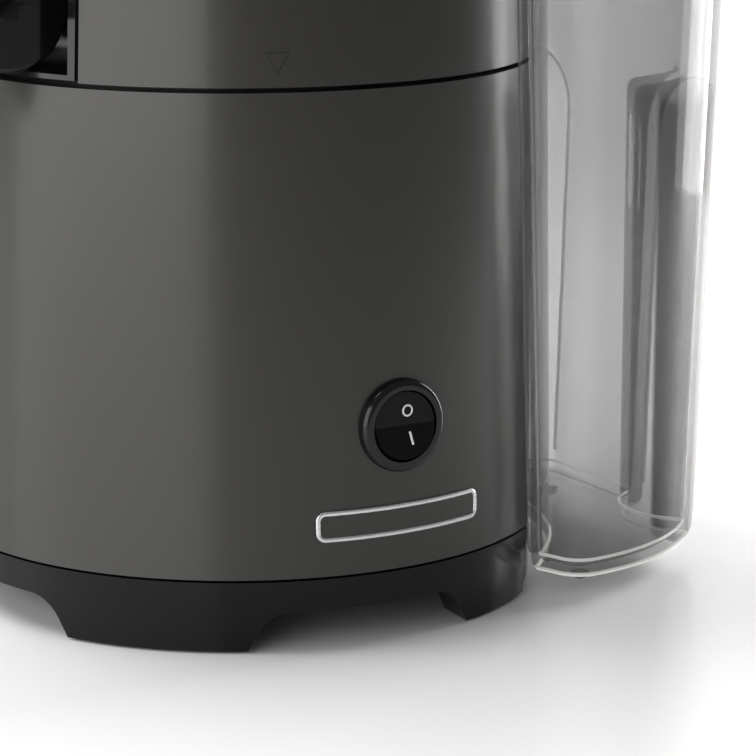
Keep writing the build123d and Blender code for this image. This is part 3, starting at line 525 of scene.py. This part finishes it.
FOOT_ROUND, FLOOR_ROUND, FLOOR_DEPTH, WALL_DEPTH = 3.4, 2.4, 2.5, 2.2
ROUND_STEPS = 6
LOW_HEIGHTS = [14, 24, 36, 50, 64, 78, 90, 100, 106, 109]
ARCH_HEIGHTS = [110 + 0.75 * k for k in range(26)]
HIGH_HEIGHTS = [131, 134, 140, 150, 160, 170, 178, 182.4]
RIM_ROWS = [
    (182.9, -0.4), (183.3, -1.0), (183.8, -1.2), (185.2, -1.2), (185.8, -0.8), (186.0, -0.2), (186.0, 1.6),
    (185.8, 2.1), (185.2, 2.2),
]


def container_profile():
    """(height, inset) from the outer foot up over the rim and down to the inner floor."""
    heights = LOW_HEIGHTS + ARCH_HEIGHTS + HIGH_HEIGHTS
    quarter = [radians(90.0 * k / ROUND_STEPS) for k in range(ROUND_STEPS + 1)]
    rows = [(CONTAINER_Z0 + FOOT_ROUND * (1 - cos(a)), FOOT_ROUND * (1 - sin(a))) for a in quarter]
    rows += [(h, 0.0) for h in heights]
    rows += RIM_ROWS
    rows += [(h, WALL_DEPTH) for h in reversed(heights[:-1])]
    for a in quarter:
        z = CONTAINER_Z0 + FLOOR_DEPTH + FLOOR_ROUND * (1 - sin(a))
        rows.append((z, WALL_DEPTH + FLOOR_ROUND * (1 - cos(a))))
    return rows


shell_rings = [container_level(z, inset) for z, inset in container_profile()]
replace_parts(capped("container_shell", shell_rings, flute_shaded_clear, "container"), "pulp_container")

LIP_FOOT_Z, LIP_LEAD, LIP_ROWS = 11.6, 3.0, 40
LIP_BEARINGS = (36.4, 41.2)
LIP_GAP, LIP_OUT = 0.8, 3.0


def lip(name, side):
    """Upright lip that wraps the base's edge, rounded at its foot."""
    rings = []
    start, high = LIP_BEARINGS
    for k in range(LIP_ROWS):
        z = LIP_FOOT_Z + (CONTAINER_TOP_Z - LIP_FOOT_Z) * (k / (LIP_ROWS - 1)) ** 1.6
        lead = 1.0 - max(0.0, 1.0 - (z - LIP_FOOT_Z) / LIP_LEAD) ** 2
        low = start + 1.6 * (1 - lead)
        r0, r1 = shell_radius(z) + LIP_GAP, shell_radius(z) + LIP_OUT
        corners = [
            (low + 0.45, r0), (high, r0), (high, r1), (low + 0.75, r1), (low + 0.2, r1 - 0.55), (low, r0 + 0.9),
        ]
        rings.append([around(90 + side * (b - 90), r, z) for b, r in corners])
    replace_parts(capped(name, rings, smoky_clear, "container"), "pulp_container")


for name, side in (("container_front_lip", 1), ("container_rear_lip", -1)):
    lip(name, side)

BEAD_SIDES, BEAD_SINK, BEAD_REFERENCE = 10, 0.35, Vector((-0.62, 0.61, 0.49))
FLUTE_EDGE_FOOT, FLUTE_EDGE_STEPS, PRESSED = 7.0, 130, 0.25


def bead(name, path, radius, closed=False):
    """Thin round bead along a path of (x, y, z) points in mm: a painted highlight line, light in colour and
    glowing, that stands in for a bright edge on the clear plastic.
    """
    p = np.array(path, float)
    if closed:
        ahead, behind = np.roll(p, -1, 0), np.roll(p, 1, 0)
    else:
        ahead, behind = np.vstack([p[1:], p[-1:]]), np.vstack([p[:1], p[:-1]])
    turns = [2 * pi * i / BEAD_SIDES for i in range(BEAD_SIDES)]
    rings = []
    for here, run in zip(p, ahead - behind):
        along = Vector(run).normalized()
        out = along.cross(BEAD_REFERENCE).normalized()
        up = along.cross(out)
        rings.append([(Vector(here) + (out * cos(a) + up * sin(a)) * radius) * MM for a in turns])
    if closed:
        made = looped(name, rings, painted_highlight_clear, "container", close=True)
    else:
        made = capped(name, rings, painted_highlight_clear, "container")
    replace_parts(made, "pulp_container")


def flute_outline(side):
    """Path up one edge of a flute, over its arched top and down the other edge."""
    first, last = [], []
    low, high = CONTAINER_Z0 + FLUTE_EDGE_FOOT, FLUTE_TOP_Z
    for step in range(FLUTE_EDGE_STEPS + 1):
        z = low + (high - low) * sin(radians(90.0 * step / FLUTE_EDGE_STEPS))
        base = blurred(plan_base(z), PLAN_BLUR)
        moved = base[:, 0] - fluted(base, z, 0.0)
        pressed = np.nonzero((moved > PRESSED) & (base[:, 1] * side > 0))[0]
        if len(pressed):
            inner = base - normals(base) * BEAD_SINK
            first.append((*inner[pressed[0]], z))
            last.append((*inner[pressed[-1]], z))
    return first + last[::-1]


# painted highlight lines along both flutes' edges, the container's foot and its inner floor
for name, side in (("flute_front_edge", -1.0), ("flute_rear_edge", 1.0)):
    bead(name, flute_outline(side), 0.55)
for name, rise, inset, radius in (
    ("container_bottom_edge", 1.0, 1.35, 0.5),
    ("container_floor_edge", 4.6, 2.3, 0.45),
):
    ring = container_level(CONTAINER_Z0 + rise, inset)
    bead(name, [tuple(v / MM) for v in ring], radius, closed=True)

DOME_R, DOME_Z, DOME_HEIGHT, DOME_SIDES = 2.3, 3.5, 2.1, 28


def container_foot(name, x, y):
    """Small dome under the container's floor."""
    turns = [2 * pi * i / DOME_SIDES for i in range(DOME_SIDES)]
    rings = []
    for k in range(ROUND_STEPS + 1):
        a = radians(90.0 * k / ROUND_STEPS)
        radius, z = DOME_R * sin(a) + 0.05, DOME_Z + DOME_HEIGHT * (1 - cos(a))
        rings.append([Vector((x + radius * cos(t), y + radius * sin(t), z)) * MM for t in turns])
    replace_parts(capped(name, rings, smoky_clear, "container"), "pulp_container")


for number, (x, y) in enumerate(((62.5, -66.0), (62.5, 66.0), (103.0, 8.0))):
    container_foot(f"container_foot_{number}", x, y)


# ------------------------------------------------------------------ blank plate with a raised border
PLATE_W, PLATE_H, PLATE_CORNER, CORNER_STEPS = 47.0, 7.6, 2.4, 6
STRAIGHT_STEP = 1.5
BORDER_LOOPS = ((0.0, 0.02), (0.0, 0.50), (0.12, 0.62), (1.00, 0.62), (1.12, 0.50), (1.12, 0.02))
FIELD_LOOPS = ((0.6, 0.02), (0.6, 0.30), (1.0, 0.33), (2.0, 0.34), (2.35, 0.34))


def rounded_outline(width, height, corner, steps):
    """Rounded rectangle about the origin, with extra points along its long sides."""
    points = []
    for cx, cy, start in (
        (width / 2 - corner, height / 2 - corner, 0.0),
        (corner - width / 2, height / 2 - corner, 90.0),
        (corner - width / 2, corner - height / 2, 180.0),
        (width / 2 - corner, corner - height / 2, 270.0),
    ):
        for i in range(steps + 1):
            a = radians(start + 90.0 * i / steps)
            points.append((cx + corner * cos(a), cy + corner * sin(a)))
    dense = []
    for i, start in enumerate(points):
        end = points[(i + 1) % len(points)]
        dense += line_points(start, end, max(1, int(abs(end[0] - start[0]) / STRAIGHT_STEP)))
    return dense


def on_shell(u, v, lift):
    """Point u mm to the right and v mm up from the plate's middle, lift mm off the housing."""
    z = NAMEPLATE_Z + v
    bearing = NAMEPLATE_BEARING + u / shell_radius(z) * 180 / pi
    return around(bearing, shell_radius(z) + lift, z)


def plate_loop(inset, lift):
    """The plate's outline, inset mm inside its edge and lift mm off the housing."""
    outline = rounded_outline(PLATE_W - 2 * inset, PLATE_H - 2 * inset, PLATE_CORNER - inset, CORNER_STEPS)
    return [on_shell(u, v, lift) for u, v in outline]


border_loops = [plate_loop(inset, lift) for inset, lift in BORDER_LOOPS]
border = looped("nameplate_border", border_loops, MATERIALS["plate_alloy"], "base", close=True)
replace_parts(border, "nameplate")
field_loops = [plate_loop(inset, lift) for inset, lift in FIELD_LOOPS]
field = looped("nameplate_field", field_loops, MATERIALS["body_grey"], "base")
work = bmesh.new()
work.from_mesh(field.data)
bmesh.ops.remove_doubles(work, verts=work.verts, dist=1e-7)
rims = [e for e in work.edges if e.is_boundary]
bmesh.ops.holes_fill(work, edges=rims, sides=0)
bmesh.ops.triangulate(work, faces=[f for f in work.faces if len(f.verts) > 4])
bmesh.ops.recalc_face_normals(work, faces=work.faces)
work.to_mesh(field.data)
work.free()
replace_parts(field, "nameplate")

# ------------------------------------------------------------------ marks on the rocker
ROCKER_TILT, ROCKER_PROUD, ROCKER_DISH, ROCKER_HALF = 9.0, 1.7, 1.2, 9.0
MARK_SKEW = 0.12
turn = Matrix.Rotation(radians(SWITCH_BEARING), 4, "Z")
tilt = Matrix.Rotation(radians(-ROCKER_TILT), 4, "X")
ROCKER_FRAME = Matrix.Translation(around(SWITCH_BEARING, shell_radius(SWITCH_Z), SWITCH_Z)) @ turn @ tilt


def on_rocker(x, y, lift):
    """Point on the rocker's dished face: x to the right, y up along the face, lift outwards, all in mm."""
    depth = ROCKER_PROUD + ROCKER_DISH * abs(y) / ROCKER_HALF + lift
    return ROCKER_FRAME @ (Vector((x, -depth, y)) * MM)


def ring_mark(cx, cy, outer, inner, steps=48):
    """Loops of a raised ring."""
    turns = [2 * pi * i / steps for i in range(steps)]
    sections = ((outer, 0.01), (outer, 0.13), (inner, 0.13), (inner, 0.01))
    return [[on_rocker(cx + r * cos(a), cy + r * sin(a), lift) for a in turns] for r, lift in sections]


def bar_mark(cx, cy, width, height):
    """Loops of a raised bar that leans to the left at its top."""
    outline = rounded_outline(width, height, width * 0.3, 3)
    loops = []
    for scale, lift in ((1.0, 0.01), (1.0, 0.11), (0.8, 0.14), (0.05, 0.14)):
        shorter = 1 - (1 - scale) * width / height
        loops.append([on_rocker(cx + u * scale - v * MARK_SKEW, cy + v * shorter, lift) for u, v in outline])
    return loops


mark_white = MATERIALS["mark_white"]
off_loops = ring_mark(0.8, 3.5, 1.50, 1.05)
on_loops = bar_mark(1.3, -3.3, 0.55, 3.3)
looped("switch_off_mark", off_loops, mark_white, "rocker", close=True)
looped("switch_on_mark", on_loops, mark_white, "rocker")


# ------------------------------------------------------------------ perforated strainer
CONE_FOOT, CONE_TOP, CONE_WALL = (45.0, 168.0), (61.0, 194.5), 0.7  # (radius, height) of the inner skin
HOLE_ROWS, HOLE_COLUMNS, HOLE_SIDES, HOLE_SHARE = 13, 150, 8, 0.62


def on_cone(row, column, wall):
    """Point on a skin of the cone; whole rows and columns are the corners between the holes."""
    (r0, z0), (r1, z1) = CONE_FOOT, CONE_TOP
    t = row / HOLE_ROWS
    return around(360.0 * column / HOLE_COLUMNS, r0 + (r1 - r0) * t + wall, z0 + (z1 - z0) * t)


def strainer():
    """Cone wall with rows of round holes, two skins joined through each hole."""
    rows, columns, sides = HOLE_ROWS, HOLE_COLUMNS, HOLE_SIDES
    reach = 0.5 * HOLE_SHARE
    vertices, faces, offsets = [], [], []
    for wall in (0.0, CONE_WALL):
        start = len(vertices)
        vertices += [on_cone(i, j, wall) for i in range(rows + 1) for j in range(columns)]
        offsets.append((start, len(vertices)))
        for i in range(rows):
            for j in range(columns):
                for k in range(sides):
                    a = 2 * pi * (k + 0.5) / sides
                    vertices.append(on_cone(i + 0.5 + reach * sin(a), j + 0.5 + reach * cos(a), wall))
    for side, (start, rim_start) in enumerate(offsets):
        for i in range(rows):
            for j in range(columns):
                a = start + i * columns + j
                b = start + i * columns + (j + 1) % columns
                c = start + (i + 1) * columns + (j + 1) % columns
                d = start + (i + 1) * columns + j
                h = rim_start + (i * columns + j) * sides
                cell = [
                    (b, c, h + 0, h + 7), (c, h + 1, h + 0), (c, d, h + 2, h + 1), (d, h + 3, h + 2),
                    (d, a, h + 4, h + 3), (a, h + 5, h + 4), (a, b, h + 6, h + 5), (b, h + 7, h + 6),
                ]
                faces += [tuple(reversed(f)) for f in cell] if side == 0 else cell
    (inner_grid, inner), (outer_grid, outer) = offsets
    for cell_index in range(rows * columns):
        for k in range(sides):
            m = (k + 1) % sides
            i0, o0 = inner + cell_index * sides, outer + cell_index * sides
            faces.append((i0 + k, i0 + m, o0 + m, o0 + k))
    for row in (0, rows):
        for j in range(columns):
            n = (j + 1) % columns
            a, b = inner_grid + row * columns, outer_grid + row * columns
            faces.append((a + j, b + j, b + n, a + n))
    made = piece("strainer_mesh", vertices, faces, MATERIALS["stainless"], "rotor", smooth=False)
    mesh = bmesh.new()
    mesh.from_mesh(made.data)
    bmesh.ops.recalc_face_normals(mesh, faces=mesh.faces)
    mesh.to_mesh(made.data)
    mesh.free()
    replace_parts(made, "strainer_screen")


strainer()

# ------------------------------------------------------------------ floor and lights, in metres and watts
FLOOR_NEAR, FLOOR_FAR, FLOOR_HALF_WIDTH = -3.0, 1.6, 4.0
SWEEP_R, SWEEP_STEPS, WALL_TOP = 0.9, 12, 3.0
AMBIENT = 0.22


def floor():
    """Wide pale floor, square to the camera, that rises into a soft wall far behind."""
    profile = [(FLOOR_NEAR, 0.0), (FLOOR_FAR, 0.0)]
    for i in range(1, SWEEP_STEPS + 1):
        a = radians(90.0 * i / SWEEP_STEPS)
        profile.append((FLOOR_FAR + SWEEP_R * sin(a), SWEEP_R - SWEEP_R * cos(a)))
    profile.append((FLOOR_FAR + SWEEP_R, WALL_TOP))
    aim = radians(-CAMERA_AZIMUTH)
    forward = Vector((sin(aim), cos(aim), 0.0))
    across = Vector((cos(aim), -sin(aim), 0.0))
    vertices, faces = [], []
    for distance, height in profile:
        for side in (-FLOOR_HALF_WIDTH, FLOOR_HALF_WIDTH):
            vertices.append(forward * distance + across * side + Vector((0, 0, height)))
    for i in range(len(profile) - 1):
        faces.append((2 * i, 2 * i + 1, 2 * i + 3, 2 * i + 2))
    mesh = bpy.data.meshes.new("studio_floor")
    mesh.from_pydata([tuple(v) for v in vertices], [], faces)
    for polygon in mesh.polygons:
        polygon.use_smooth = True
    mesh.materials.append(MATERIALS["studio_white"])
    made = bpy.data.objects.new("studio_floor", mesh)
    bpy.context.scene.collection.objects.link(made)


floor()


def area_light(name, place, target, size, power):
    """Rectangular light at place, aimed at target."""
    data = bpy.data.lights.new(name, "AREA")
    data.shape = "RECTANGLE"
    data.size, data.size_y = size
    data.energy = power
    made = bpy.data.objects.new(name, data)
    made.location = place
    made.rotation_euler = (Vector(target) - Vector(place)).to_track_quat("-Z", "Y").to_euler()
    bpy.context.scene.collection.objects.link(made)


area_light("high_key", (-0.55, 0.75, 1.5), (0.0, 0.0, 0.0), (1.5, 1.2), 40.0)
area_light("back_wall_wash", (0.9, 1.5, 1.4), (0.9, 1.9, 0.0), (1.6, 0.8), 20.0)
area_light("left_softbox", (-1.10, -0.18, 0.32), (0.0, 0.0, 0.12), (1.95, 0.9), 17.5)
area_light("right_panel", (0.62, 0.03, 0.16), (0.02, -0.04, 0.12), (0.26, 0.50), 5.8)

world = bpy.data.worlds.new("studio")
world.use_nodes = True
background = world.node_tree.nodes["Background"]
background.inputs["Color"].default_value = (1.0, 1.0, 1.0, 1.0)
background.inputs["Strength"].default_value = AMBIENT
bpy.context.scene.world = world
bpy.context.scene.view_settings.view_transform = "Standard"
bpy.context.scene.cycles.transparent_max_bounces = 16
bpy.context.scene.cycles.transmission_bounces = 16
bpy.context.scene.cycles.max_bounces = 20
